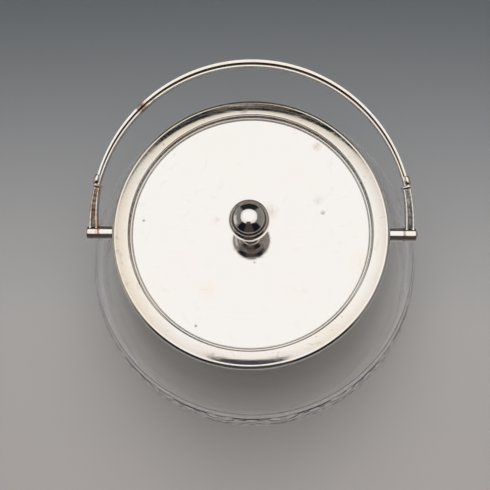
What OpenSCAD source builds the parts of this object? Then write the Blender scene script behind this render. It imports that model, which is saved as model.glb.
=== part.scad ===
// Biscuit jar: a clear glass globe with a silver-plated collar, an inset lid with a ball knob
// and a reeded bail handle that swings on two pivots.
// Frame: origin at the centre of the base on the table, +Z up, +X through the right-hand pivot,
// +Y to the back, where the bail leans at rest. Millimetres.

/* [Glass bowl] */
// Outer radius of the globe
globe_r = 79.5; // [74:0.5:90]
// Height of the globe's centre above the table
globe_z = 65; // [58:0.5:70]
// Wall of the globe
globe_wall = 4; // [3:0.25:6]
// Thickness of the base
base_t = 8; // [5:0.5:12]
// Radius of the mouth inside the neck
mouth_r = 52; // [46:0.5:54]
// Wall of the neck
neck_wall = 4; // [3:0.25:5]

/* [Collar] */
// Thickness of the plaster bed between the neck and the collar band
cement_t = 2.2; // [1.5:0.1:4]
// Wall of the spun collar
collar_t = 1; // [0.7:0.1:1.4]
// Height of the collar band, from its lower edge to the lid's top face
band_h = 10.5; // [9.5:0.25:16]
// Gap between the collar's lower edge and the shoulder of the glass
band_gap = 0.3; // [0.2:0.1:1]
// Height of the collar's crest above the lid's top face
crest_h = 2.9; // [2:0.1:5]
// Radius of the fold at the collar's inner crest
crest_r = 0.5; // [0.4:0.1:1]
// Radius of the domed shoulder, in section
crown_r = 50; // [20:1:80]
// Radius of the rolled outer edge
roll_r = 2; // [1.6:0.1:2.2]
// How far the rolled edge stands out past the band
roll_out = 2.1; // [1.8:0.1:2.6]
// Depth of the rolled edge's middle below the crest
roll_drop = 3.2; // [2.6:0.1:3.6]
// Wall of the seat ring's ledge
ledge_t = 0.8; // [0.6:0.1:1.2]
// Wall of the seat ring's liner
liner_t = 0.7; // [0.5:0.1:1]
// Depth of the liner below the ledge
liner_h = 6.5; // [4:0.5:9]

/* [Lid] */
// How far the lid reaches past the mouth, over its bead
lid_over = 1.3; // [1.2:0.1:2.6]
// Thickness of the lid plate
lid_t = 1; // [0.8:0.1:1.4]
// Radius of the turned-down edge of the lid plate
lid_edge_r = 0.6; // [0.5:0.1:1]
// Radius of the wire bead on the lid's edge
bead_r = 0.5; // [0.4:0.05:0.8]
// How far the bead stands above the lid plate
bead_up = 0.4; // [0.2:0.05:0.6]
// Gap between the lid and the collar's inner wall
lid_gap = 0.3; // [0.3:0.1:1]
// Wall of the locating skirt under the lid
skirt_t = 0.7; // [0.5:0.1:1]
// Height of the locating skirt
skirt_h = 6.5; // [4:0.5:8]

/* [Knob] */
// Radius of the ball
ball_r = 9; // [7:0.1:12]
// Height of the neck, from the lid to the ball's seat
knob_neck_h = 8.7; // [7:0.1:14]
// Radius of the neck's foot
neck_foot_r = 5; // [4.6:0.1:6]
// Radius of the neck under the ball
neck_top_r = 3.9; // [3.6:0.1:4.5]
// Radius of the neck's waist
neck_waist_r = 3.1; // [2.6:0.1:3.4]
// Radius of the stud
stud_r = 1.5; // [1.2:0.1:2]
// Depth of the stud in the ball
stud_in_ball = 4.6; // [3:0.2:6]
// Length of stud that shows below the nut
stud_tail = 0.8; // [0.4:0.2:2]
// Radius of the washer under the lid
knob_washer_r = 4.2; // [3.6:0.2:6]
// Thickness of the washer under the lid
knob_washer_t = 0.8; // [0.5:0.1:1.2]
// Width of the nut across its flats
nut_flats = 5.5; // [5:0.5:8]
// Height of the nut
nut_h = 2.4; // [2:0.2:4]

/* [Pivots] */
// Drop of the pivot axis below the lid's top face
pivot_drop = 4.8; // [4.4:0.1:7]
// Radius of the lugs and of the bail's eyes
lug_r = 3.3; // [2.8:0.1:3.6]
// Length of a lug past the collar band
lug_len = 8.2; // [6:0.2:10]
// Radius of the pivot screw's shank
pivot_r = 1.5; // [1.2:0.1:2]
// Radial running clearance of the bail's eye on the shank
pivot_play = 0.05; // [0.02:0.01:0.1]
// Depth of the screw in the lug
screw_grip = 6.5; // [4:0.5:7]
// Radius of the pivot washers
pivot_washer_r = 3.5; // [3:0.1:4]
// Thickness of the pivot washers
pivot_washer_t = 0.4; // [0.2:0.05:0.8]
// End play between washer, eye and screw head
end_play = 0.1; // [0.05:0.05:0.3]
// Radius of the screw heads
head_r = 2.5; // [2.2:0.1:3]
// Height of the left screw's head
left_head_h = 0.3; // [0.2:0.1:1.5]
// Height of the right screw's head
right_head_h = 1.1; // [0.2:0.1:1.5]

/* [Bail] */
// Angle of the bail above the horizontal at rest
bail_lean = 14; // [0:1:60]
// Length of each eye along the pivot
eye_len = 5.1; // [4:0.1:7]
// Distance of the bow's centre from the pivot axis
bow_rise = 6; // [3:0.1:20]
// Width of the bow's section in the plane of the bail
bow_w = 3.5; // [2.8:0.1:4.5]
// Thickness of the bow's section across the plane of the bail
bow_t = 4.2; // [3:0.1:6]
// Share of that width that the outer of the two reeds takes
reed_share = 0.58; // [0.5:0.01:0.62]
// How far the centre of the inner reed's arc drops, so that the reeds close up to the ends
bow_taper = 1.6; // [0:0.1:2]
// Width of a terminal's arm
arm_w = 4; // [3:0.1:4.6]
// How far the arm's inner side stands back from the inner end of the eye
arm_inset = 0.3; // [0.1:0.1:1]
// Thickness of a terminal's arm
arm_t = 5; // [4:0.1:6]
// Rounding of the arm's edges
arm_round = 0.9; // [0.4:0.1:1.4]
// Length of the arm along the bow, up to its ring
arm_len = 14.4; // [8:0.2:24]
// Width of the ring at the end of the arm
ring_w = 1.2; // [0.8:0.1:2]
// How far the ring stands out past the arm
ring_out = 0.35; // [0.2:0.05:0.8]
// Radius of the bud beyond the ring
bud_r = 2.7; // [2.4:0.1:3.2]
// How far the bud's middle lies outside the bow's middle line
bud_out = 1.2; // [0:0.1:1.6]
// How far the bow's middle line lies inside that of the arms
bow_inset = 0.4; // [0:0.1:1]

/* [Hidden] */
$fn = 96;

glass_colour = [0.80, 0.84, 0.84, 0.45];
plaster_colour = [0.90, 0.88, 0.83];
silver_colour = [0.86, 0.85, 0.82];
worn_silver_colour = [0.80, 0.70, 0.60];
brass_colour = [0.76, 0.63, 0.36];

// Clearances
solder_gap = 0.05;   // between pieces that are soldered or bedded together
seat_gap = 0.3;      // between the lid and the ring that it rests on or in
stud_play = 0.05;    // between the stud and what it passes through
lug_gap = 0.3;       // between the rolled edge and the lugs under it
reed_lap = 0.2;      // how far the two reeds of the bow run into each other
far = 300;           // longer than the jar, for cutting tools

// Radii of the collar, worked outwards from the mouth
neck_or = mouth_r + neck_wall;
band_ir = neck_or + cement_t;
band_or = band_ir + collar_t;
lid_r = mouth_r + lid_over;
well_r = lid_r + lid_gap;
liner_or = mouth_r - seat_gap;
liner_ir = liner_or - liner_t;

// Heights, worked upwards from the shoulder of the glass
band_z = globe_z + sqrt(pow(globe_r, 2) - pow(band_ir, 2)) + band_gap;
lid_z = band_z + band_h;
bead_z = lid_z + bead_up - bead_r;
ledge_z = min(bead_z - bead_r, lid_z - lid_t) - seat_gap;
neck_z = ledge_z - ledge_t - seat_gap;

// Pivots and bail
pivot_z = lid_z - pivot_drop;
lug_x = band_or + lug_len;
washer_x = lug_x + pivot_washer_t;
eye_x0 = washer_x + end_play;
eye_x1 = eye_x0 + eye_len;
arm_mid = eye_x0 + arm_inset + arm_w / 2;
bow_mid = arm_mid - bow_inset;
eye_bore = pivot_r + pivot_play;
arm_a = arm_len / bow_mid * 180 / PI;
ring_a = arm_a + ring_w / bow_mid * 180 / PI;
bud_a = ring_a + bud_r * 0.75 / bow_mid * 180 / PI;
tip_a = bud_a + bud_r * 0.8 / bow_mid * 180 / PI;

// Centres of the two rounded edges of the collar's section, and where the outer one ends
crest_c = [well_r + crest_r, lid_z + crest_h - crest_r];
roll_c = [band_or + roll_out - roll_r, lid_z + crest_h - roll_drop];
roll_low = max(roll_c[1] - roll_r, pivot_z + lug_r + lug_gap);

// Centre of the circle of radius r that lies over two smaller circles and touches both
function over_both(c1, r1, c2, r2, r) =
    let (span = c2 - c1,
         ahead = span / norm(span),
         along = (pow(r - r1, 2) - pow(r - r2, 2) + pow(norm(span), 2)) / (2 * norm(span)),
         aside = sqrt(pow(r - r1, 2) - pow(along, 2)))
    c1 + ahead * along + [ahead[1], -ahead[0]] * aside;

// Direction of one point from another
function toward(from, to) = atan2(to[1] - from[1], to[0] - from[0]);

// Point of a circle in a given direction
function on_circle(c, r, a) = c + r * [cos(a), sin(a)];

// Points along an arc, from direction a0 to a1
function arc(c, r, a0, a1, steps = 12) =
    [for (i = [0:steps]) on_circle(c, r, a0 + (a1 - a0) * i / steps)];

// Rectangle given by its two corners
module box2(low, high) {
    translate(low) square(high - low);
}

// Ring of rectangular section, from radius r0 to r1 and height z0 to z1
module ring(r0, r1, z0, z1) {
    rotate_extrude() box2([r0, z0], [r1, z1]);
}

// Cylinder along +X, from x0 to x1
module bar_x(r, x0, x1) {
    translate([x0, 0, 0]) rotate([0, 90, 0]) cylinder(r = r, h = x1 - x0);
}

module glass_bowl() {
    color(glass_colour)
    difference() {
        union() {
            translate([0, 0, globe_z]) sphere(globe_r);
            translate([0, 0, globe_z]) cylinder(r = neck_or, h = neck_z - globe_z);
        }
        translate([0, 0, globe_z])
        difference() {
            sphere(globe_r - globe_wall);
            translate([-far / 2, -far / 2, -far + base_t - globe_z]) cube(far);
        }
        translate([0, 0, globe_z]) cylinder(r = mouth_r, h = far);
        translate([-far / 2, -far / 2, -far]) cube(far);
    }
}

module neck_cement() {
    color(plaster_colour)
    difference() {
        ring(neck_or + solder_gap, band_ir - solder_gap, globe_z, neck_z);
        translate([0, 0, globe_z]) sphere(globe_r + solder_gap);
    }
}

// The collar's section: up the inner wall, over the crest, down the domed shoulder, round the
// rolled edge, down the band, and back along the inside one wall thickness away
module collar_section() {
    crown_c = over_both(crest_c, crest_r, roll_c, roll_r, crown_r);
    crown_in = crown_r - collar_t;
    crown_a0 = toward(crown_c, crest_c);
    crown_a1 = toward(crown_c, roll_c);
    roll_a = asin((roll_low - roll_c[1]) / roll_r);
    polygon(concat(
        [[well_r, ledge_z - ledge_t]],
        arc(crest_c, crest_r, 180, crown_a0),
        arc(crown_c, crown_r, crown_a0, crown_a1, 24),
        arc(roll_c, roll_r, crown_a1, roll_a, 24),
        [[band_or, roll_low], [band_or, band_z], [band_ir, band_z]],
        arc(crown_c, crown_in, acos((band_ir - crown_c[0]) / crown_in),
            acos((well_r + collar_t - crown_c[0]) / crown_in)),
        [[well_r + collar_t, ledge_z - ledge_t]]));
}

module collar_shell() {
    color(silver_colour) rotate_extrude() collar_section();
}

module lid_seat_ring() {
    color(silver_colour)
    rotate_extrude() {
        box2([liner_ir, ledge_z - ledge_t], [well_r - solder_gap, ledge_z]);
        box2([liner_ir, ledge_z - ledge_t - liner_h], [liner_or, ledge_z]);
    }
}

// What sits on the right-hand pivot is placed here, and mirrored for the left
module at_pivot(side) {
    translate([0, 0, pivot_z]) mirror([side < 0 ? 1 : 0, 0, 0]) children();
}

module pivot_lug(side) {
    color(silver_colour)
    difference() {
        at_pivot(side)
        difference() {
            bar_x(lug_r, neck_or, lug_x);
            bar_x(pivot_r + stud_play, lug_x - screw_grip, far);
        }
        cylinder(r = band_or + solder_gap, h = far);
    }
}

module pivot_washer(side) {
    color(worn_silver_colour)
    at_pivot(side)
    difference() {
        bar_x(pivot_washer_r, lug_x, washer_x);
        bar_x(eye_bore, 0, far);
    }
}

// Shank and domed head of height h, turned in one piece
module pivot_screw(side, h) {
    shank_x = lug_x - screw_grip + end_play;
    head_x = eye_x1 + end_play;
    dome_r = (pow(head_r, 2) + pow(h, 2)) / (2 * h);
    dome_a = h < head_r ? asin(head_r / dome_r) : 90;
    color(silver_colour)
    at_pivot(side)
    rotate([0, 90, 0])
    rotate_extrude()
    polygon(concat([[0, shank_x], [pivot_r, shank_x], [pivot_r, head_x]],
                   arc([0, head_x + h - dome_r], dome_r, 90 - dome_a, 90)));
}

// The bail is drawn flat, pivot axis on X and bow towards +Y, and leant back here
module at_bail() {
    translate([0, 0, pivot_z]) rotate([bail_lean, 0, 0]) children();
}

// A stretch of the bow's arc, from angle a0 to a1, with the section given as its child
module along_bow(a0, a1) {
    translate([0, bow_rise, 0]) rotate([0, 0, a0]) rotate_extrude(angle = a1 - a0) children();
}

// What lies on the near side of the right-hand bud's end face
module below_tip() {
    translate([0, bow_rise, 0])
    rotate([0, 0, tip_a])
    translate([-far / 2, -far, -far / 2])
    cube(far);
}

// Rectangle with rounded corners, w wide round the arm's middle line and t thick
module arm_section(w, t, round) {
    translate([arm_mid, 0]) {
        box2([-w / 2 + round, -t / 2], [w / 2 - round, t / 2]);
        box2([-w / 2, -t / 2 + round], [w / 2, t / 2 - round]);
        for (x = [-1, 1], y = [-1, 1])
            translate([x * (w / 2 - round), y * (t / 2 - round)]) circle(round);
    }
}

// Section of a reed w wide at a radius, rounded on the front and the back of the bail
module reed_section(radius, w) {
    translate([radius, 0]) {
        box2([-w / 2, -bow_t / 2 + w / 2], [w / 2, bow_t / 2 - w / 2]);
        for (y = [-1, 1]) translate([0, y * (bow_t - w) / 2]) circle(w / 2);
    }
}

module bail_terminal(side) {
    color(silver_colour)
    at_bail()
    mirror([side < 0 ? 1 : 0, 0, 0])
    difference() {
        union() {
            bar_x(lug_r, eye_x0, eye_x1);
            rotate([-90, 0, 0]) linear_extrude(bow_rise) arm_section(arm_w, arm_t, arm_round);
            along_bow(0, (arm_a + ring_a) / 2) arm_section(arm_w, arm_t, arm_round);
            along_bow(arm_a, ring_a)
                arm_section(arm_w + 2 * ring_out, arm_t + 2 * ring_out, arm_round);
            translate([0, bow_rise, 0])
            rotate([0, 0, bud_a])
            translate([bow_mid + bud_out, 0, 0])
            sphere(bud_r);
        }
        bar_x(eye_bore, 0, far);
        translate([0, bow_rise, 0]) rotate([0, 0, tip_a]) translate([0, 0, -far / 2]) cube(far);
    }
}

// Two reeds side by side, cut off flush with the buds
module bail_bow() {
    outer_w = bow_w * reed_share + reed_lap / 2;
    inner_w = bow_w * (1 - reed_share) + reed_lap / 2;
    color(silver_colour)
    at_bail()
    difference() {
        union() {
            along_bow(0, 180) reed_section(bow_mid + (bow_w - outer_w) / 2, outer_w);
            translate([0, -bow_taper, 0])
            along_bow(0, 180) reed_section(bow_mid - (bow_w - inner_w) / 2 + bow_taper, inner_w);
        }
        below_tip();
        mirror([1, 0, 0]) below_tip();
    }
}

module lid_plate() {
    edge_x = lid_r - 2 * bead_r - lid_edge_r;
    color(silver_colour)
    translate([0, 0, lid_z])
    rotate_extrude() {
        box2([stud_r + stud_play, -lid_t], [edge_x, 0]);
        intersection() {
            translate([edge_x, -lid_edge_r]) circle(lid_edge_r);
            box2([edge_x, -lid_t], [lid_r, 0]);
        }
    }
}

module lid_edge_bead() {
    color(silver_colour) rotate_extrude() translate([lid_r - bead_r, bead_z]) circle(bead_r);
}

module lid_skirt() {
    skirt_or = liner_ir - seat_gap;
    color(silver_colour)
    ring(skirt_or - skirt_t, skirt_or, lid_z - lid_t - skirt_h, lid_z - lid_t);
}

// The ball sits on the neck by a flat as wide as the neck's top
ball_z = lid_z + knob_neck_h + sqrt(pow(ball_r, 2) - pow(neck_top_r, 2));

module knob_ball() {
    color(silver_colour)
    difference() {
        translate([0, 0, ball_z]) sphere(ball_r);
        translate([-far / 2, -far / 2, lid_z + knob_neck_h - far]) cube(far);
        cylinder(r = stud_r + stud_play, h = lid_z + knob_neck_h + stud_in_ball + stud_play);
    }
}

// Spool: a taper with a hollow turned round its middle
module knob_neck() {
    hollow_r = knob_neck_h * 0.44;
    color(silver_colour)
    translate([0, 0, lid_z])
    rotate_extrude()
    difference() {
        polygon([[stud_r + stud_play, 0], [neck_foot_r, 0], [neck_foot_r, knob_neck_h * 0.08],
                 [neck_top_r, knob_neck_h * 0.9], [neck_top_r, knob_neck_h],
                 [stud_r + stud_play, knob_neck_h]]);
        translate([neck_waist_r + hollow_r, knob_neck_h * 0.53]) circle(hollow_r);
    }
}

// Undersides of the washer and of the nut
washer_z = lid_z - lid_t - knob_washer_t;
nut_z = washer_z - nut_h;

module knob_stud() {
    z0 = nut_z - stud_tail;
    color(brass_colour)
    translate([0, 0, z0]) cylinder(r = stud_r, h = lid_z + knob_neck_h + stud_in_ball - z0);
}

module knob_washer() {
    color(brass_colour) ring(stud_r + stud_play, knob_washer_r, washer_z, washer_z + knob_washer_t);
}

module knob_nut() {
    color(brass_colour)
    translate([0, 0, nut_z])
    difference() {
        cylinder(r = nut_flats / sqrt(3), h = nut_h, $fn = 6);
        translate([0, 0, -nut_h]) cylinder(r = stud_r + stud_play, h = 3 * nut_h);
    }
}

glass_bowl();
neck_cement();
collar_shell();
lid_seat_ring();
pivot_lug(-1);  // left_pivot_lug
pivot_lug(1);  // right_pivot_lug
pivot_washer(-1);  // left_pivot_washer
pivot_washer(1);  // right_pivot_washer
pivot_screw(-1, left_head_h);  // left_pivot_screw
pivot_screw(1, right_head_h);  // right_pivot_screw
bail_terminal(-1);  // left_bail_terminal
bail_terminal(1);  // right_bail_terminal
bail_bow();
lid_plate();
lid_edge_bead();
lid_skirt();
knob_ball();
knob_neck();
knob_stud();
knob_washer();
knob_nut();
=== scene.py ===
import math

import bmesh
import bpy
from mathutils import Matrix, Vector


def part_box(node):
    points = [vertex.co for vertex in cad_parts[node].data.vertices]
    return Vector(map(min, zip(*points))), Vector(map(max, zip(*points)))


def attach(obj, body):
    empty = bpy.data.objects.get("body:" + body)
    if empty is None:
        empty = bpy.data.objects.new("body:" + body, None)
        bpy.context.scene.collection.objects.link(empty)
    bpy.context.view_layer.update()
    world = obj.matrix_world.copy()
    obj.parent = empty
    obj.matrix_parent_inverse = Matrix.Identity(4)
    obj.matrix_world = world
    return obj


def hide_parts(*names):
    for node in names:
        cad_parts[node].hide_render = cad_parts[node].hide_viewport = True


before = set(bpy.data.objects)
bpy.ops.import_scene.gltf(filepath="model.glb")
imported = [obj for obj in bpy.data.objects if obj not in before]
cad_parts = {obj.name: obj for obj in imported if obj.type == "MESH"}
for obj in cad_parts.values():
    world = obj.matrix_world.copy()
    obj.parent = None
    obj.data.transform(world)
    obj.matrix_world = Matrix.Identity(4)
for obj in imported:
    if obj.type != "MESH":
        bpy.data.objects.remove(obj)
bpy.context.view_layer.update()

# ------------------------------------------------------------------ sizes, in millimetres
MM = 0.001


def low(node):
    """Lowest corner of a CAD node."""
    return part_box(node)[0] / MM


def high(node):
    """Highest corner of a CAD node."""
    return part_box(node)[1] / MM


# Clearances, as the solids have them
SOLDER_GAP = 0.05
SEAT_GAP = 0.3
ROLL_GAP = 0.3
END_PLAY = 0.1
BORE_PLAY = 0.05

# How far beyond a fillet its flat neighbour gets one more row, so that it shades flat
HOLD = 0.12

# Glass
GLOBE_R = high("glass_bowl").x
GLOBE_Z = 65.0
GLOBE_WALL = 4.0
BASE_T = 8.0
PUNT_R = 18.0
PUNT_DEEP = 0.6
NECK_TOP = high("glass_bowl").z
NECK_WALL = 4.0

# Band that the wheel has cut round the glass
CUT_Z = 68.0
CUT_HALF = 13.0
CUT_DEPTH = 0.28
CUT_RING_HALF = 0.8
CUT_MARGIN = 2.0
SPRAYS = 16
SPRAY_STEPS = 36
FINE_ROW, PLAIN_ROW = 0.42, 2.2

# Collar, worked inwards from its band
BAND_LOW = low("collar_shell").z
BAND_IN = high("neck_cement").x + SOLDER_GAP
COLLAR_T = 1.0
BAND_OUT = BAND_IN + COLLAR_T
LINE_UP, LINE_HALF, LINE_FLOOR, LINE_DEEP = 1.5, 0.4, 0.12, 0.16
CEMENT_T = 2.2
NECK_R = BAND_IN - CEMENT_T
MOUTH_R = NECK_R - NECK_WALL
WELL_R = high("lid_seat_ring").x + SOLDER_GAP
LEDGE_Z = high("lid_seat_ring").z
LEDGE_T = 0.8
LINER_R = MOUTH_R - SEAT_GAP
LINER_T = 0.7
CREST_R = 0.5
CREST = (WELL_R + CREST_R, high("collar_shell").z - CREST_R)
CROWN_R = 50.0
ROLL_R = 2.0
ROLL_DROP = 3.2
ROLL = (high("collar_shell").x - ROLL_R, high("collar_shell").z - ROLL_DROP)
ROLL_LOW = high("right_pivot_lug").z + ROLL_GAP
FLARE_X = ROLL[0] + 0.1
FLARE_W = 0.45
FLARE_TILT = 9.2

# Lid and knob
LID_Z = high("lid_plate").z
LID_T = 1.0
LID_EDGE_R = 0.6
BEAD_R = (high("lid_edge_bead").z - low("lid_edge_bead").z) / 2
BEAD = (high("lid_edge_bead").x - BEAD_R, low("lid_edge_bead").z + BEAD_R)
SKIRT_R = high("lid_skirt").x
SKIRT_T = 0.7
STUD_HOLE = high("knob_stud").x + BORE_PLAY
BALL_R = high("knob_ball").x
BALL_SEAT = low("knob_ball").z
BALL_Z = high("knob_ball").z - BALL_R
NECK_FOOT_R = high("knob_neck").x
NECK_TOP_R = 3.9
NECK_WAIST_R = 3.1

# Pivots, along +X from the band
PIVOT_Z = (low("right_pivot_lug").z + high("right_pivot_lug").z) / 2
LUG_R = high("right_pivot_lug").z - PIVOT_Z
LUG_X = high("right_pivot_lug").x
SOLDER_FOOT = 0.75
SCREW_GRIP = 6.5
PIVOT_R = 1.5
PIVOT_HOLE = PIVOT_R + BORE_PLAY
WASHER_R = high("right_pivot_washer").z - PIVOT_Z
WASHER_X = high("right_pivot_washer").x
EYE_X0 = WASHER_X + END_PLAY
EYE_X1 = high("right_bail_terminal").x
HEAD_R = 2.5
HEAD_X = EYE_X1 + END_PLAY
SLOT_W = 0.55
SLOT_TURN = 35

# Bail, drawn flat in its own plane with the pivot axis on X. The leaf takes the place of the
# solid's bud, and LEAF_HALF is half its size across, along and through the bail.
BAIL_LEAN = 14.0
BOW_RISE = 6.0
BOW_W = 3.5
BOW_T = 4.2
OUTER_REED = 1.45
INNER_REED = 0.85
GROOVE_DEEP = 0.34
BOW_TAPER = 1.6
ARM_W = 4.0
ARM_TIP_W = {-1: 2.6, 1: 3.4}
ARM_LIP = 0.7
ARM_HOLLOW = 0.85
ARM_T = 5.0
ARM_ROUND = 0.45
ARM_INSET = 0.3
ARM_MID = EYE_X0 + ARM_INSET + ARM_W / 2
BOW_INSET = 0.4
BOW_MID = ARM_MID - BOW_INSET
ARM_LEN = 14.4
RING_W = 1.2
RING_OUT = 0.35
RING_HOLLOW = 0.3
MELT_GRAIN = 0.16
BUD_R = 2.7
LEAF_HALF = (1.9, 3.6, 3.0)
LEAF_OUT = 1.5
ARM_A = math.degrees(ARM_LEN / BOW_MID)
RING_A = ARM_A + math.degrees(RING_W / BOW_MID)
LEAF_A = RING_A + math.degrees(0.75 * BUD_R / BOW_MID)
TIP_A = LEAF_A + math.degrees(0.8 * BUD_R / BOW_MID)


# ------------------------------------------------------------------ outlines
def on_circle(centre, radius, angle):
    """Point of a circle in a direction given in degrees."""
    turn = math.radians(angle)
    return (centre[0] + radius * math.cos(turn), centre[1] + radius * math.sin(turn))


def arc(centre, radius, start, end, steps):
    """Points along an arc, both ends included."""
    return [on_circle(centre, radius, start + (end - start) * i / steps)
            for i in range(steps + 1)]


def rounded(corners, steps=5, hold=HOLD):
    """Closed outline through corners (r, z) or (r, z, fillet)."""
    points = []
    for i, corner in enumerate(corners):
        here = Vector(corner[:2])
        fillet = corner[2] if len(corner) > 2 else 0
        if fillet == 0:
            points.append(tuple(here))
            continue
        to_last = Vector(corners[i - 1][:2]) - here
        to_next = Vector(corners[(i + 1) % len(corners)][:2]) - here
        half = to_last.angle(to_next) / 2
        reach = fillet / math.tan(half)
        start = here + to_last.normalized() * reach
        end = here + to_next.normalized() * reach
        centre = here + (to_last.normalized() + to_next.normalized()).normalized() * (
            fillet / math.sin(half))
        first = start - centre
        sweep = first.angle_signed(end - centre)
        if to_last.length > reach + 2 * hold:
            points.append(tuple(start + to_last.normalized() * hold))
        for k in range(steps + 1):
            spoke = first.copy()
            spoke.rotate(Matrix.Rotation(-sweep * k / steps, 2))
            points.append(tuple(centre + spoke))
        if to_next.length > reach + 2 * hold:
            points.append(tuple(end + to_next.normalized() * hold))
    return points


# ------------------------------------------------------------------ meshes
def linked(name, data):
    """New object in the scene."""
    thing = bpy.data.objects.new(name, data)
    bpy.context.scene.collection.objects.link(thing)
    return thing


def face_outwards(mesh, merge=False):
    """Turns a closed mesh's faces outwards, after joining the points that share a place."""
    shell = bmesh.new()
    shell.from_mesh(mesh)
    if merge:
        bmesh.ops.remove_doubles(shell, verts=shell.verts, dist=1e-7)
    bmesh.ops.recalc_face_normals(shell, faces=shell.faces)
    shell.to_mesh(mesh)
    shell.free()


def new_piece(name, points, faces, sharp=35):
    """Closed mesh from points in millimetres."""
    mesh = bpy.data.meshes.new(name)
    mesh.from_pydata([tuple(Vector(p) * MM) for p in points], [], faces)
    face_outwards(mesh, merge=True)
    soften(mesh, sharp)
    return linked(name, mesh)


def block(name, xs, ys, zs):
    """Box between two limits along each axis."""
    return new_piece(name, [(x, y, z) for x in xs for y in ys for z in zs],
                     [[0, 1, 3, 2], [4, 6, 7, 5], [0, 4, 5, 1], [2, 3, 7, 6], [0, 2, 6, 4],
                      [1, 5, 7, 3]])


def soften(mesh, sharp=35):
    """Smooth shading, with the edges that turn by more than sharp degrees left crisp."""
    mesh.shade_smooth()
    mesh.set_sharp_from_angle(angle=math.radians(sharp))


def lathe(name, outline, steps=180, sharp=35):
    """Solid turned about Z from a closed outline of (radius, height) points."""
    points, rings = [], []
    for r, z in outline:
        if r < 1e-4:
            rings.append([len(points)] * steps)
            points.append((0, 0, z))
            continue
        rings.append(list(range(len(points), len(points) + steps)))
        points += [(r * math.cos(2 * math.pi * k / steps),
                    r * math.sin(2 * math.pi * k / steps), z) for k in range(steps)]
    faces = []
    for i, ring in enumerate(rings):
        other = rings[(i + 1) % len(rings)]
        for k in range(steps):
            quad = [ring[k], ring[(k + 1) % steps], other[(k + 1) % steps], other[k]]
            face = list(dict.fromkeys(quad))
            if len(face) > 2:
                faces.append(face)
    return new_piece(name, points, faces, sharp)


def loft(sections):
    """Points and faces of a closed solid through sections of equally many points."""
    count = len(sections[0])
    points = [p for section in sections for p in section]
    faces = [list(range(count))[::-1],
             list(range(len(points) - count, len(points)))]
    for i in range(len(sections) - 1):
        for k in range(count):
            a, b = i * count + k, i * count + (k + 1) % count
            faces.append([a, b, b + count, a + count])
    return points, faces


def turned(axis, angle):
    """Turn about an axis through the origin, in degrees."""
    return Matrix.Rotation(math.radians(angle), 4, axis)


def place(piece, *matrices):
    """Moves the mesh itself by the matrices in turn; the object stays at the origin."""
    for matrix in matrices:
        piece.data.transform(matrix)
        if matrix.determinant() < 0:
            piece.data.flip_normals()
    return piece


def at_pivot(piece, turn, side=1):
    """Turns a piece, lifts it to the pivots, and sets it on the right or the left of the jar."""
    return place(piece, turn, Matrix.Translation((0, 0, PIVOT_Z * MM)),
                 Matrix.Diagonal((side, 1, 1, 1)))


def on_pivot(piece, side):
    """Puts what was turned about Z on the pivot axis."""
    return at_pivot(piece, turned("Y", 90), side)


def in_bail_plane(piece, side=1):
    """Leans what was drawn flat back to the bail's rest."""
    return at_pivot(piece, turned("X", BAIL_LEAN), side)


def applied(piece):
    """Turns what the piece's modifiers make into its own plain mesh."""
    graph = bpy.context.evaluated_depsgraph_get()
    mesh = bpy.data.meshes.new_from_object(
        piece.evaluated_get(graph), preserve_all_data_layers=True, depsgraph=graph)
    piece.modifiers.clear()
    piece.data = mesh
    return piece


def cut(piece, cutter):
    """Takes the cutter out of the piece and deletes the cutter."""
    modifier = piece.modifiers.new("cut", "BOOLEAN")
    modifier.operation = "DIFFERENCE"
    modifier.solver = "EXACT"
    modifier.object = cutter
    applied(piece)
    bpy.data.objects.remove(cutter)
    soften(piece.data)
    return piece


# ------------------------------------------------------------------ node trees
class Nodes:
    """Short calls for building a node tree."""

    def __init__(self, tree):
        self.tree = tree

    def add(self, kind, inputs=(), output=0, **settings):
        """Adds a node and returns the chosen output. An input is a value, a colour or a socket."""
        node = self.tree.nodes.new(kind)
        for key, value in settings.items():
            setattr(node, key, value)
        for key, value in dict(inputs).items():
            socket = node.inputs[key]
            if isinstance(value, bpy.types.NodeSocket):
                self.tree.links.new(value, socket)
            else:
                socket.default_value = (*value, 1) if socket.type == "RGBA" else value
        return node.outputs[output] if len(node.outputs) else node

    def math(self, operation, a, b=0.0, clamp=False):
        return self.add("ShaderNodeMath", {0: a, 1: b}, operation=operation, use_clamp=clamp)

    def plus(self, a, b):
        return self.math("ADD", a, b)

    def minus(self, a, b):
        return self.math("SUBTRACT", a, b)

    def times(self, a, b):
        return self.math("MULTIPLY", a, b)

    def ratio(self, a, b):
        return self.math("DIVIDE", a, b)

    def spread(self, value, low_in, high_in, low_out=0.0, high_out=1.0):
        """Maps a range of the value on another range, and holds it there."""
        return self.add("ShaderNodeMapRange", {
            "Value": value, "From Min": low_in, "From Max": high_in,
            "To Min": low_out, "To Max": high_out})

    def blend(self, factor, first, second):
        """Mix of two colours."""
        return self.add("ShaderNodeMix", {0: factor, 6: first, 7: second}, output=2,
                        data_type="RGBA")

    def axes(self, vector):
        """The three parts of a vector."""
        return self.add("ShaderNodeSeparateXYZ", {0: vector}).node.outputs

    def length(self, a, b):
        """Length of the line with parts a and b."""
        return self.math("SQRT", self.plus(self.times(a, a), self.times(b, b)))


def new_tree(name, start, sizes):
    """Geometry Nodes tree that takes a geometry called start, named sizes and a material."""
    tree = bpy.data.node_groups.new(name, "GeometryNodeTree")
    socket = tree.interface.new_socket
    socket(start, in_out="INPUT", socket_type="NodeSocketGeometry")
    for label, value in sizes.items():
        socket(label, in_out="INPUT", socket_type="NodeSocketFloat").default_value = value
    socket("Material", in_out="INPUT", socket_type="NodeSocketMaterial")
    socket("Geometry", in_out="OUTPUT", socket_type="NodeSocketGeometry")
    return tree


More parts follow.
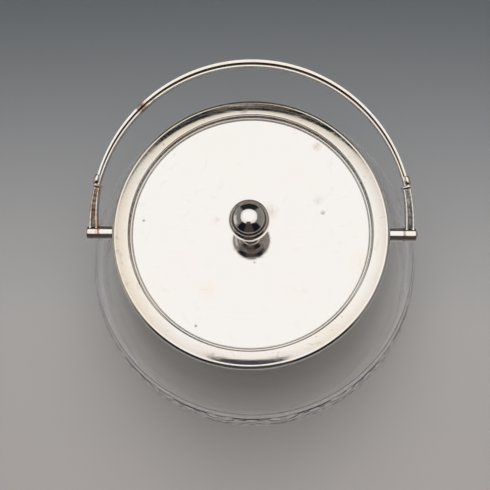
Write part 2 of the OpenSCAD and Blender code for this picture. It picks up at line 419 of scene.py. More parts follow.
def end_tree(nodes, geometry, material):
    """Ends a Geometry Nodes tree with real geometry that wears its material."""
    whole = nodes.add("GeometryNodeRealizeInstances", {"Geometry": geometry})
    dressed = nodes.add("GeometryNodeSetMaterial", {"Geometry": whole, "Material": material})
    nodes.add("NodeGroupOutput", {"Geometry": dressed})
    return nodes.tree


def run_tree(piece, tree, **values):
    """Puts a Geometry Nodes tree on a piece, sets its inputs by identifier, and applies it."""
    modifier = piece.modifiers.new(tree.name, "NODES")
    modifier.node_group = tree
    for socket in tree.interface.items_tree:
        if socket.in_out == "INPUT" and socket.name in values:
            modifier[socket.identifier] = values[socket.name]
    return applied(piece)


class Finish(Nodes):
    """A material built from nodes on Object coordinates, in metres."""

    def __init__(self, name):
        self.material = bpy.data.materials.new(name)
        self.material.use_nodes = True
        super().__init__(self.material.node_tree)
        self.tree.nodes.clear()
        self.where = self.add("ShaderNodeTexCoord", output="Object")

    def noise(self, scale, detail=3, stretch=(1, 1, 1), turn=(0, 0, 0), distort=0.0):
        """Noise with features about 1/scale metres across, stretched after a turn in degrees."""
        spot = self.add("ShaderNodeMapping", {
            "Vector": self.where, "Scale": stretch,
            "Rotation": [math.radians(a) for a in turn]})
        return self.add("ShaderNodeTexNoise", {
            "Vector": spot, "Scale": scale, "Detail": detail, "Distortion": distort})

    def spot(self, centre, radius, edge=0.5):
        """1 inside a ball round a point, in millimetres, falling to 0 at its radius."""
        away = self.add("ShaderNodeVectorMath", {
            0: self.where, 1: [c * MM for c in centre]}, output="Value", operation="DISTANCE")
        return self.spread(away, radius * MM * edge, radius * MM, 1.0, 0.0)

    def shape(self, height, strength, distance):
        """Bump from a height in the range 0 to 1, for relief of the given distance in metres."""
        return self.add("ShaderNodeBump", {
            "Height": height, "Strength": strength, "Distance": distance})

    def surface(self, **inputs):
        """Principled shader with inputs named in words_with_underscores."""
        return self.add("ShaderNodeBsdfPrincipled", {
            key.replace("_", " "): value for key, value in inputs.items()})

    def done(self, shader):
        """Links the shader to the output and returns the material."""
        self.add("ShaderNodeOutputMaterial", {"Surface": shader})
        return self.material


# ------------------------------------------------------------------ finishes
SILVER = (0.93, 0.92, 0.905)
SILVER_CREAM = (0.935, 0.875, 0.79)
SILVER_ROSE = (0.95, 0.90, 0.875)
TARNISH = (0.42, 0.34, 0.26)
COPPER = (0.83, 0.52, 0.36)
DEEP_TARNISH = (0.16, 0.12, 0.09)
# Tarnish with painted shade, for the bow's groove
GROOVE_TARNISH_AND_SHADE = (0.22, 0.165, 0.115)


def hairlines(finish, turns):
    """Fine polishing scratches, one family of lines for each turn in degrees."""
    total = None
    for turn in turns:
        lines = finish.noise(1.0, 2, stretch=(30, 1400, 1400), turn=(0, 0, turn))
        thin = finish.spread(lines, 0.62, 0.70)
        total = thin if total is None else finish.math("MAXIMUM", total, thin)
    return total


def plated_silver(name, cream=0.35, wear=0.0, grime=0.3, marks=(), hollow=None):
    """Polished silver plate.

    cream is how yellowed it is, wear how far the copper shows, and grime how much tarnish sits in
    it. marks are (centre, radius, colour, amount) spots of stain, pit and solder, and of painted
    dark reflection on the arms. hollow names the attribute that is 1 in a groove, where tarnish
    and painted shade darken it.
    """
    finish = Finish(name)
    cloud = finish.noise(28, 4)
    tone = finish.blend(finish.spread(cloud, 0.35, 0.7, 0, cream), SILVER, SILVER_CREAM)
    rose = finish.noise(41, 3, turn=(20, 40, 0))
    tone = finish.blend(finish.spread(rose, 0.5, 0.72, 0, 0.5), tone, SILVER_ROSE)
    film = finish.noise(210, 6, distort=0.6)
    tone = finish.blend(finish.spread(film, 0.60, 0.76, 0, grime * 0.35), tone, TARNISH)
    specks = finish.noise(900, 2)
    tone = finish.blend(finish.spread(specks, 0.735, 0.775, 0, grime), tone, DEEP_TARNISH)
    if wear > 0:
        worn = finish.noise(330, 5, distort=0.4)
        tone = finish.blend(finish.spread(worn, 0.62 - 0.3 * wear, 0.80 - 0.25 * wear, 0, 0.85),
                            tone, COPPER)
    # Tarnish and painted shade darken the groove
    if hollow:
        deep = finish.add("ShaderNodeAttribute", output="Fac", attribute_name=hollow)
        tarnish_and_shade = finish.times(finish.spread(deep, 0.05, 0.6),
                              finish.spread(cloud, 0.3, 0.65, 0.75, 1.0))
        tone = finish.blend(tarnish_and_shade, tone, GROOVE_TARNISH_AND_SHADE)
    spotted = None
    frayed = finish.spread(finish.noise(700, 4), 0.3, 0.62, 0.25, 1.0) if marks else None
    for centre, radius, colour, amount in marks:
        ragged = finish.times(finish.spot(centre, radius, 0.25), frayed)
        tone = finish.blend(finish.times(ragged, amount), tone, colour)
        spotted = ragged if spotted is None else finish.math("MAXIMUM", spotted, ragged)
    scratches = hairlines(finish, (12, 74, 131))
    rough = finish.spread(finish.noise(75, 4), 0.3, 0.75, 0.055, 0.125)
    rough = finish.plus(rough, finish.times(scratches, 0.10))
    rough = finish.plus(rough, finish.spread(film, 0.60, 0.78, 0, 0.14))
    if spotted is not None:
        rough = finish.plus(rough, finish.times(spotted, 0.12))
    waviness = finish.shape(finish.noise(34, 2), 0.35, 0.00002)
    relief = finish.add("ShaderNodeBump", {
        "Height": scratches, "Strength": 0.10, "Distance": 0.00002, "Normal": waviness})
    return finish.done(finish.surface(
        Base_Color=tone, Metallic=1.0, Roughness=rough, Normal=relief))


def clear_glass():
    """Clear soda glass, wavy by hand, matt where the wheel has cut it."""
    finish = Finish("clear_glass")
    cut_depth = finish.add("ShaderNodeAttribute", output="Fac", attribute_name="wheel_cut")
    wipe = finish.noise(45, 4, stretch=(1, 1, 2.5))
    rough = finish.plus(finish.spread(wipe, 0.4, 0.8, 0.0, 0.03),
                        finish.spread(cut_depth, 0.02, 0.5, 0.0, 0.22))
    waves = finish.shape(finish.noise(16, 2, stretch=(1, 1, 0.6)), 0.5, 0.0004)
    tint = finish.blend(finish.spread(finish.noise(9, 2), 0.3, 0.7), (0.965, 0.962, 0.955),
                        (0.975, 0.972, 0.966))
    glass = finish.surface(Base_Color=tint, Roughness=rough, IOR=1.5,
                           Transmission_Weight=1.0, Normal=waves)
    lamp_ray = finish.add("ShaderNodeLightPath", output="Is Shadow Ray")
    see_through = finish.add("ShaderNodeBsdfTransparent", {"Color": (0.86, 0.855, 0.845)})
    return finish.done(finish.add("ShaderNodeMixShader", {0: lamp_ray, 1: glass, 2: see_through}))


def plaster():
    """Aged bedding plaster."""
    finish = Finish("plaster")
    cloud = finish.noise(120, 6)
    grains = finish.noise(1500, 2)
    tone = finish.blend(finish.spread(cloud, 0.3, 0.75), (0.86, 0.84, 0.79), (0.66, 0.61, 0.53))
    tone = finish.blend(finish.spread(grains, 0.62, 0.75, 0, 0.5), tone, (0.45, 0.41, 0.36))
    relief = finish.shape(finish.noise(700, 4), 0.6, 0.0003)
    return finish.done(finish.surface(
        Base_Color=tone, Roughness=finish.spread(cloud, 0.3, 0.7, 0.78, 0.95), Normal=relief))


def dull_brass():
    """Turned brass with a brown bloom."""
    finish = Finish("dull_brass")
    bloom = finish.noise(420, 5, distort=0.3)
    tone = finish.blend(finish.spread(bloom, 0.38, 0.72, 0, 0.8), (0.80, 0.62, 0.32),
                        (0.36, 0.24, 0.11))
    rough = finish.spread(bloom, 0.35, 0.7, 0.22, 0.42)
    relief = finish.shape(finish.noise(1800, 2, stretch=(1, 1, 6)), 0.15, 0.00005)
    return finish.done(finish.surface(
        Base_Color=tone, Metallic=1.0, Roughness=rough, Normal=relief))


def on_bow(angle, out=0.0, up=0.0):
    """Point of the bow's middle line at an angle, moved outwards and up across the bail."""
    x = (BOW_MID + out) * math.cos(math.radians(angle))
    y = BOW_RISE + (BOW_MID + out) * math.sin(math.radians(angle))
    lean = math.radians(BAIL_LEAN)
    return (x, y * math.cos(lean) - up * math.sin(lean),
            PIVOT_Z + y * math.sin(lean) + up * math.cos(lean))


# Painted dark reflections of the room along each arm's hollow: brown on the left, bluish on the
# right
ARM_PAINTED_REFLECTION = {-1: (0.13, 0.09, 0.055), 1: (0.10, 0.09, 0.11)}


def arm_painted_reflections(side):
    """Painted dark reflection along the hollow of an arm, from its eye to its ring."""
    angles = [a if side > 0 else 180 - a for a in (-2.2, -0.4, 1.4, 3.2, 5.0, 6.8, 8.6, 10.4)]
    return tuple((on_bow(a, ARM_MID - BOW_MID, ARM_T / 2 - 0.7), 1.9, ARM_PAINTED_REFLECTION[side], 1.0)
                 for a in angles)


PIT = (0.10, 0.09, 0.085)
STAIN = (0.60, 0.54, 0.46)

# Marks on the lid's top face: across, back, radius, colour and strength
LID_MARKS = (
    (-47.3, 4.5, 0.9, PIT, 0.9),
    (31.9, 8.6, 1.3, PIT, 0.75),
    (29.7, 14.1, 3.0, STAIN, 0.35),
    (-22.8, -42.6, 0.8, PIT, 0.9),
    (2.0, -14.2, 0.8, PIT, 0.6),
    (29.3, 39.5, 2.6, STAIN, 0.7),
    (8.8, 8.8, 4.5, STAIN, 0.45),
    (-15.8, 3.6, 4.2, SILVER_ROSE, 0.9),
    (-15.0, 5.0, 2.0, STAIN, 0.3),
    (-18.7, -26.6, 5.0, SILVER_CREAM, 0.7),
    (50.0, -14.7, 9.0, SILVER_CREAM, 0.9),
    (46.0, -26.0, 7.0, SILVER_CREAM, 0.6),
)
silver_lid = plated_silver("silver_plate_lid", cream=0.25, grime=0.16,
                           marks=[((x, y, LID_Z), *look) for x, y, *look in LID_MARKS])
silver_collar = plated_silver("silver_plate_collar", cream=1.2, grime=0.55)
silver_bright = plated_silver("silver_plate_bright", cream=0.4, grime=0.25)
silver_bow = plated_silver("silver_plate_bow", cream=2.2, grime=0.5, hollow="groove", marks=(
    (on_bow(133.4), 4.4, COPPER, 1.0), (on_bow(134.6, up=1.5), 3.2, DEEP_TARNISH, 1.0),
    (on_bow(134.4, out=1.0, up=2.0), 2.6, (0.26, 0.15, 0.10), 1.0),
    (on_bow(129.6, out=-1.5, up=2.0), 1.5, DEEP_TARNISH, 1.0)))
# Both arm finishes carry painted dark reflections along the arms' hollows
silver_arm = plated_silver("silver_plate_arm", cream=1.6, grime=0.4, marks=arm_painted_reflections(1))
silver_worn = plated_silver("silver_plate_worn", cream=0.9, grime=0.7, wear=0.6,
                            marks=arm_painted_reflections(-1))
glass_finish = clear_glass()
plaster_finish = plaster()
brass_finish = dull_brass()


def dress(piece, material, slot, body, *nodes):
    """Gives a piece its material and body, and lets it stand for its CAD nodes. slot is not used."""
    piece.data.materials.clear()
    piece.data.materials.append(material)
    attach(piece, body)
    if nodes:
        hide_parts(*nodes)
    return piece


# ------------------------------------------------------------------ glass bowl
def wheel_cut_band():
    """Geometry Nodes tree that sinks a repeated leaf spray between two mitred rings."""
    tree = new_tree("wheel_cut_band", "Geometry", {
        "Sprays": SPRAYS, "Globe radius": GLOBE_R * MM, "Globe height": GLOBE_Z * MM,
        "Band height": CUT_Z * MM, "Half width": CUT_HALF * MM, "Cut depth": CUT_DEPTH * MM,
        "Skin": (GLOBE_R - GLOBE_WALL / 2) * MM})
    nodes = Nodes(tree)
    given = tree.nodes.new("NodeGroupInput").outputs
    where = nodes.add("GeometryNodeInputPosition")
    x, y, z = nodes.axes(where)

    # Place inside one spray, in millimetres: across from its middle, and up from the band's middle
    turns = nodes.ratio(nodes.math("ARCTAN2", y, x), 2 * math.pi)
    share = nodes.math("FRACT", nodes.times(nodes.plus(turns, 1.0), given["Sprays"]))
    girth = nodes.times(given["Globe radius"], 2 * math.pi / MM)
    pitch = nodes.ratio(girth, given["Sprays"])
    aside = nodes.math("ABSOLUTE", nodes.times(nodes.minus(share, 0.5), pitch))
    up = nodes.ratio(nodes.minus(z, given["Band height"]), MM)

    def leaf(middle_x, middle_z, tilt, half_length, half_width):
        """1 along a lens-shaped cut, 0 at its edge and less beyond."""
        dx, dz = nodes.minus(aside, middle_x), nodes.minus(up, middle_z)
        c, s = math.cos(math.radians(tilt)), math.sin(math.radians(tilt))
        along = nodes.plus(nodes.times(dx, c), nodes.times(dz, s))
        over = nodes.minus(nodes.times(dz, c), nodes.times(dx, s))
        left = 1.0
        for part, half, power in ((along, half_length, 2.0), (over, half_width, 1.5)):
            off = nodes.math("ABSOLUTE", nodes.ratio(part, half))
            left = nodes.minus(left, nodes.math("POWER", off, power))
        return left

    cuts = [leaf(0.0, 3.4, 90, 5.6, 1.9),
            leaf(4.4, 1.6, 52, 4.4, 1.6),
            leaf(8.0, -1.6, 28, 4.2, 1.5),
            leaf(3.6, -5.2, -14, 4.0, 1.3),
            leaf(11.6, 4.6, 70, 3.0, 1.3),
            leaf(15.5, 0.2, 90, 2.1, 2.1),
            leaf(0.0, -6.4, 90, 2.0, 2.0)]
    edge = nodes.minus(nodes.math("ABSOLUTE", up), nodes.ratio(given["Half width"], MM))
    cuts.append(nodes.minus(1.0, nodes.math("ABSOLUTE", nodes.ratio(edge, CUT_RING_HALF))))
    sunk = cuts[0]
    for other in cuts[1:]:
        sunk = nodes.math("MAXIMUM", sunk, other)
    sunk = nodes.math("MAXIMUM", sunk, 0.0, clamp=True)

    # Only the outer skin is cut
    middle = nodes.add("ShaderNodeCombineXYZ", {2: given["Globe height"]})
    spoke = nodes.add("ShaderNodeVectorMath", {0: where, 1: middle}, operation="SUBTRACT")
    reach = nodes.add("ShaderNodeVectorMath", {0: spoke}, output="Value", operation="LENGTH")
    sunk = nodes.times(sunk, nodes.math("GREATER_THAN", reach, given["Skin"]))
    inwards = nodes.add("ShaderNodeVectorMath", {0: spoke}, operation="NORMALIZE")
    step = nodes.times(nodes.times(sunk, given["Cut depth"]), -1.0)
    offset = nodes.add("ShaderNodeVectorMath", {0: inwards, "Scale": step}, operation="SCALE")
    moved = nodes.add("GeometryNodeSetPosition", {
        "Geometry": given["Geometry"], "Offset": offset})
    marked = nodes.add("GeometryNodeStoreNamedAttribute", {
        "Geometry": moved, "Name": "wheel_cut", "Value": sunk},
        data_type="FLOAT", domain="POINT")
    return end_tree(nodes, marked, given["Material"])


def angle_at(radius, height):
    """Angle above the horizontal at which a circle of that radius reaches a height, in degrees."""
    return math.degrees(math.asin(height / radius))


def globe_rows():
    """Angles of the outer skin's rows, close together where the band is cut."""
    start = angle_at(GLOBE_R, -GLOBE_Z) + 1.6
    end = math.degrees(math.acos(NECK_R / GLOBE_R))
    band_from = angle_at(GLOBE_R, CUT_Z - CUT_HALF - CUT_MARGIN - GLOBE_Z)
    band_to = angle_at(GLOBE_R, CUT_Z + CUT_HALF + CUT_MARGIN - GLOBE_Z)
    rows, angle = [], start
    while angle < end - 0.6:
        rows.append(angle)
        angle += FINE_ROW if band_from < angle < band_to else PLAIN_ROW
    return rows + [end]


def glass_bowl():
    """Blown globe with a ground base, a polished hollow under it and a fire-rounded mouth."""
    inner_r = GLOBE_R - GLOBE_WALL
    floor_r = math.sqrt(inner_r ** 2 - (GLOBE_Z - BASE_T) ** 2)
    inner_top = math.degrees(math.acos(MOUTH_R / inner_r))
    inner_low = angle_at(inner_r, BASE_T - GLOBE_Z)
    base_r = math.sqrt(GLOBE_R ** 2 - GLOBE_Z ** 2)
    outside = [on_circle((0, GLOBE_Z), GLOBE_R, a) for a in globe_rows()]
    inside = arc((0, GLOBE_Z), inner_r, inner_top, inner_low + 7, 34)
    outline = rounded(
        [(0, PUNT_DEEP), (PUNT_R - 1.5, PUNT_DEEP, 1.2), (PUNT_R, 0, 0.5), (base_r, 0, 1.0)]
        + outside
        + [(NECK_R, NECK_TOP, 1.3), (MOUTH_R, NECK_TOP, 1.3)]
        + inside
        + [(floor_r, BASE_T, 5.5), (0, BASE_T)])
    bowl = lathe("cut_glass_globe", outline, steps=SPRAY_STEPS * SPRAYS, sharp=50)
    run_tree(bowl, wheel_cut_band(), Material=glass_finish)
    soften(bowl.data, 60)
    return dress(bowl, glass_finish, "clear_glass", "jar", "glass_bowl")


# ------------------------------------------------------------------ collar
def inside_touch(first, first_r, second, second_r, radius):
    """Centre of the circle of the given radius that holds both circles and touches them."""
    span = Vector(second) - Vector(first)
    a, b = radius - first_r, radius - second_r
    along = (a * a - b * b + span.length_squared) / (2 * span.length)
    aside = math.sqrt(a * a - along * along)
    ahead = span.normalized()
    return Vector(first) + ahead * along + Vector((ahead.y, -ahead.x)) * aside


def collar_shell():
    """Spun collar: inner wall, crest, domed shoulder, flare, rolled edge, and band with a line."""
    crown = inside_touch(CREST, CREST_R, ROLL, ROLL_R, CROWN_R)
    lift = Vector(CREST) - crown
    crown_from = math.degrees(math.atan2(lift.y, lift.x))
    wall_low = LEDGE_Z - LEDGE_T
    roll_end = angle_at(ROLL_R, ROLL_LOW - ROLL[1])
    roof = [(x, crown.y + math.sqrt((CROWN_R - COLLAR_T) ** 2 - (x - crown.x) ** 2))
            for x in (BAND_IN, WELL_R + COLLAR_T)]
    flare_a = math.degrees(math.acos((FLARE_X - crown.x) / CROWN_R))
    tilt = math.radians(FLARE_TILT)
    start = Vector(on_circle(crown, CROWN_R, flare_a))
    flare = [tuple(start + Vector((math.cos(tilt), -math.sin(tilt))) * out)
             for out in (HOLD, FLARE_W)]
    edge_r = (high("collar_shell").x - flare[1][0]) / (1 - math.sin(tilt))
    edge = (flare[1][0] - edge_r * math.sin(tilt), flare[1][1] - edge_r * math.cos(tilt))
    outline = (
        rounded([(WELL_R + COLLAR_T, wall_low, 0.3), (WELL_R, wall_low, 0.3),
                 (WELL_R, CREST[1] - HOLD)])
        + arc(CREST, CREST_R, 180, crown_from, 16)
        + arc(crown, CROWN_R, crown_from, flare_a, 24)[1:]
        + flare + arc(edge, edge_r, 90 - FLARE_TILT, 0, 24)[1:]
        + arc(ROLL, ROLL_R, 0, roll_end, 10)
        + [(BAND_OUT + 0.15, ROLL_LOW), (BAND_OUT, ROLL_LOW - 0.15)]
        + [(BAND_OUT - deep, BAND_LOW + LINE_UP + up)
           for deep, up in ((0, LINE_HALF), (LINE_DEEP, LINE_FLOOR), (LINE_DEEP, -LINE_FLOOR),
                            (0, -LINE_HALF))]
        + [(BAND_OUT, BAND_LOW + 0.2), (BAND_OUT - 0.2, BAND_LOW), (BAND_IN, BAND_LOW)]
        + roof)
    piece = lathe("spun_collar", outline, steps=256)
    return dress(piece, silver_collar, "silver_plate", "jar", "collar_shell")


def seat_ring():
    """Ledge for the lid's edge, with the liner that hides the glass rim."""
    liner_low = low("lid_seat_ring").z
    outline = rounded([
        (LINER_R - LINER_T, liner_low, 0.2), (LINER_R, liner_low, 0.2),
        (LINER_R, LEDGE_Z - LEDGE_T, 0.3), (WELL_R - SOLDER_GAP, LEDGE_Z - LEDGE_T, 0.1),
        (WELL_R - SOLDER_GAP, LEDGE_Z, 0.1), (LINER_R - LINER_T, LEDGE_Z, 0.6)])
    piece = lathe("seat_ring", outline, steps=256)
    return dress(piece, silver_bright, "silver_plate", "jar", "lid_seat_ring")


# ------------------------------------------------------------------ lid
def lid_plate():
    """Flat lid disc, turned down at its edge."""
    edge_x = BEAD[0] - BEAD_R - LID_EDGE_R
    edge = arc((edge_x, LID_Z - LID_EDGE_R), LID_EDGE_R, 90,
               -angle_at(LID_EDGE_R, LID_T - LID_EDGE_R), 12)
    outline = ([(STUD_HOLE, LID_Z), (STUD_HOLE + 0.2, LID_Z), (edge_x - 1, LID_Z),
                (edge_x - HOLD, LID_Z)]
               + edge
               + [(STUD_HOLE, LID_Z - LID_T)])
    piece = lathe("lid_disc", outline, steps=256)
    return dress(piece, silver_lid, "silver_plate", "lid", "lid_plate")


def lid_edge_bead():
    """Round wire soldered to the lid's edge."""
    piece = lathe("lid_wire_bead", arc(BEAD, BEAD_R, 0, 360, 24)[:-1], steps=256)
    return dress(piece, silver_bright, "silver_plate", "lid", "lid_edge_bead")


def lid_skirt():
    """Locating flange under the lid, rounded at its lower edge."""
    top, bottom = high("lid_skirt").z, low("lid_skirt").z
    outline = rounded([(SKIRT_R - SKIRT_T, bottom, 0.3), (SKIRT_R, bottom, 0.3),
                       (SKIRT_R, top), (SKIRT_R - SKIRT_T, top)])
    piece = lathe("lid_flange", outline, steps=256)
    return dress(piece, silver_bright, "silver_plate", "lid", "lid_skirt")


def knob_ball():
    """Ball of the finial."""
    seat = angle_at(BALL_R, BALL_SEAT - BALL_Z)
    outline = [(0, BALL_SEAT)] + arc((0, BALL_Z), BALL_R, seat, 90, 72)
    piece = lathe("knob_sphere", outline, steps=144)
    return dress(piece, silver_bright, "silver_plate", "lid", "knob_ball")


def knob_neck():
    """Spool under the ball: a taper with a hollow turned round its middle."""
    height = BALL_SEAT - LID_Z
    hollow_r = height * 0.44
    hollow = (NECK_WAIST_R + hollow_r, LID_Z + height * 0.53)
    foot_top, head_low = LID_Z + height * 0.08, LID_Z + height * 0.9
    side = []
    rows = 64
    for i in range(rows + 1):
        z = foot_top + (head_low - foot_top) * i / rows
        r = NECK_FOOT_R + (NECK_TOP_R - NECK_FOOT_R) * i / rows
        off = z - hollow[1]
        if abs(off) < hollow_r:
            r = min(r, hollow[0] - math.sqrt(hollow_r ** 2 - off ** 2))
        side.append((r, z))
    outline = ([(STUD_HOLE, LID_Z), (NECK_FOOT_R - 0.15, LID_Z), (NECK_FOOT_R, LID_Z + 0.15)]
               + side + [(NECK_TOP_R, BALL_SEAT), (STUD_HOLE, BALL_SEAT)])
    piece = lathe("knob_spool", outline, steps=144, sharp=28)
    return dress(piece, silver_bright, "silver_plate", "lid", "knob_neck")


def knob_washer():
    """Washer under the lid."""
    top, bottom = high("knob_washer").z, low("knob_washer").z
    rim = high("knob_washer").x
    outline = rounded([(STUD_HOLE, bottom), (rim, bottom, 0.25), (rim, top, 0.1),
                       (STUD_HOLE, top)])
    piece = lathe("lid_washer", outline, steps=96)
    return dress(piece, brass_finish, "brass", "lid", "knob_washer")


# ------------------------------------------------------------------ pivots
def side_name(side):
    """Word for the side that a piece is on."""
    return "right" if side > 0 else "left"


def pivot_lug(side):
    """Lug with a solder fillet where it meets the band, bored for its screw."""
    root, foot_r = BAND_OUT - 0.8, LUG_R + SOLDER_FOOT
    outline = rounded([
        (0, root), (foot_r, root), (foot_r, BAND_OUT - 0.1),
        (LUG_R + 0.1, BAND_OUT + 0.3, 0.6), (LUG_R, BAND_OUT + 1.2, 1.0), (LUG_R, LUG_X, 0.22),
        (PIVOT_HOLE, LUG_X), (PIVOT_HOLE, LUG_X - SCREW_GRIP), (0, LUG_X - SCREW_GRIP)])
    piece = on_pivot(lathe(f"{side_name(side)}_lug", outline, steps=96), side)
    return dress(piece, silver_bright, "silver_plate", "jar", f"{side_name(side)}_pivot_lug")


def pivot_washer(side):
    """Thin washer between the lug and the bail's eye."""
    outline = rounded([(PIVOT_HOLE, LUG_X), (WASHER_R, LUG_X, 0.12), (WASHER_R, WASHER_X, 0.12),
                       (PIVOT_HOLE, WASHER_X)])
    piece = on_pivot(lathe(f"{side_name(side)}_washer", outline, steps=96), side)
    return dress(piece, silver_worn, "worn_silver", "jar", f"{side_name(side)}_pivot_washer")


def pivot_screw(side):
    """Screw with a domed, slotted head."""
    node = f"{side_name(side)}_pivot_screw"
    head_h = (high(node).x if side > 0 else -low(node).x) - HEAD_X
    dome_r = (HEAD_R ** 2 + head_h ** 2) / (2 * head_h)
    dome_a = math.degrees(math.asin(HEAD_R / dome_r))
    tip = LUG_X - SCREW_GRIP + END_PLAY
    outline = ([(0, tip), (PIVOT_R, tip), (PIVOT_R, HEAD_X), (HEAD_R - 0.1, HEAD_X)]
               + arc((0, HEAD_X + head_h - dome_r), dome_r, 90 - dome_a, 90, 16))
    piece = lathe(f"{side_name(side)}_screw", outline, steps=96)
    slot_cutter = block("slot", (-SLOT_W / 2, SLOT_W / 2), (-2 * HEAD_R, 2 * HEAD_R),
                        (HEAD_X + head_h * 0.5, HEAD_X + head_h + 1))
    on_pivot(cut(piece, place(slot_cutter, turned("Z", SLOT_TURN))), side)
    finish, slot = ((silver_bright, "silver_plate") if side > 0 else (silver_worn, "worn_silver"))
    return dress(piece, finish, slot, "jar", node)


# ------------------------------------------------------------------ bail
def across_bail(outline, angle, y=0.0, radius=0.0):
    """Sets a flat outline across the bail, at an angle and radius round its centre moved by y."""
    turn = math.radians(angle)
    outwards = Vector((math.cos(turn), math.sin(turn), 0))
    middle = Vector((0, BOW_RISE + y, 0)) + outwards * radius
    return [middle + outwards * u + Vector((0, 0, v)) for u, v in outline]


def arm_outline(width, hollow=ARM_HOLLOW, out=0.0):
    """Section of the arm: a strip with a lip along each side of its hollowed faces."""
    w, t = width / 2 + out, ARM_T / 2 + out
    lip = w - ARM_LIP
    return rounded([
        (w, -t, ARM_ROUND), (w, t, ARM_ROUND), (lip, t), (0, t - hollow), (-lip, t),
        (-w, t, ARM_ROUND), (-w, -t, ARM_ROUND), (-lip, -t), (0, -t + hollow), (lip, -t)],
        steps=4, hold=ARM_W)


def bow_outline():
    """Section of the bow at its top: a wide and a narrow reed with a groove between them."""
    t, groove = BOW_T / 2, BOW_W - INNER_REED - OUTER_REED
    face = [(BOW_W / 2, t, 0.4), (BOW_W / 2 - OUTER_REED, t, 0.15),
            (BOW_W / 2 - OUTER_REED - groove / 2, t - GROOVE_DEEP),
            (INNER_REED - BOW_W / 2, t, 0.15), (-BOW_W / 2, t, 0.35)]
    back = [(x, -y, *fillet) for x, y, *fillet in face[::-1]]
    return rounded(face + back, steps=4, hold=0.06)


def bow_across(angle):
    """Section of the bow at an angle, narrowed on its inner side towards the pivots."""
    left = 1 - BOW_TAPER / BOW_W * (1 - math.sin(math.radians(angle)))
    rim = BOW_MID + BOW_W / 2
    return across_bail([(rim - (BOW_W / 2 - u) * left, v) for u, v in bow_outline()], angle)


def bail_terminal(side):
    """Cast end of the bail: eye, arm, ring and leaf, melted into one with soft inner corners."""
    shells = []
    eye = lathe("eye", rounded([(0, EYE_X0), (LUG_R, EYE_X0, 0.2), (LUG_R, EYE_X1, 0.55),
                                (0, EYE_X1)]), steps=96)
    shells.append(place(eye, turned("Y", 90)))
    straight, bent = 5, 11
    narrow = ARM_TIP_W[side] - ARM_W
    strips = [arm_outline(ARM_W + narrow * i / (straight + bent)) for i in range(straight + bent)]
    end_a = (ARM_A + RING_A) / 2
    arm = [across_bail(strip, 0, -BOW_RISE * (1 - i / straight), ARM_MID)
           for i, strip in enumerate(strips[:straight])]
    arm += [across_bail(strip, end_a * i / (bent - 1), radius=ARM_MID)
            for i, strip in enumerate(strips[straight:])]
    swells = [RING_OUT * (0.35 + 0.9 * math.sin(math.pi * i / 6)) for i in range(7)]
    ring = [across_bail(arm_outline(ARM_TIP_W[side], RING_HOLLOW, swell),
                        ARM_A + (RING_A - ARM_A) * i / 6, radius=ARM_MID)
            for i, swell in enumerate(swells)]
    stub = [bow_across(ARM_A + (TIP_A + 0.4 - ARM_A) * i / 8) for i in range(9)]
    shells += [new_piece(name, *loft(sections))
               for name, sections in (("arm", arm), ("ring", ring), ("stub", stub))]
    leaf = lathe("leaf", arc((0, 0), 1, -90, 90, 24), steps=48)
    heart = on_circle((0, BOW_RISE), BOW_MID + BOW_W / 2 - LEAF_HALF[0] + LEAF_OUT, LEAF_A)
    shells.append(place(leaf, Matrix.Diagonal((*LEAF_HALF, 1)), turned("Z", LEAF_A),
                        Matrix.Translation((heart[0] * MM, heart[1] * MM, 0))))
    terminal = shells[0]
    with bpy.context.temp_override(active_object=terminal, object=terminal,
                                   selected_editable_objects=shells):
        bpy.ops.object.join()
    melt = terminal.modifiers.new("melt", "REMESH")
    melt.mode = "VOXEL"
    melt.voxel_size = MELT_GRAIN * MM
    ease = terminal.modifiers.new("ease", "SMOOTH")
    ease.iterations = 5
    applied(terminal)
    bore = lathe("bore", [(0, EYE_X0 - 1), (PIVOT_HOLE, EYE_X0 - 1), (PIVOT_HOLE, EYE_X1 + 1),
                          (0, EYE_X1 + 1)], steps=96)
    cut(terminal, place(bore, turned("Y", 90)))

    # The bow takes over square to its arc; this box holds all that lies beyond
    beyond_tip = block("beyond_tip", (40, 90), (0, 20), (-9, 9))
    cut(terminal, place(beyond_tip, Matrix.Translation((0, BOW_RISE * MM, 0)) @ turned("Z", TIP_A)))
    terminal.name = f"{side_name(side)}_terminal"
    in_bail_plane(terminal, side)
    finish, slot = ((silver_arm, "silver_plate") if side > 0 else (silver_worn, "worn_silver"))
    return dress(terminal, finish, slot, "bail", f"{side_name(side)}_bail_terminal")


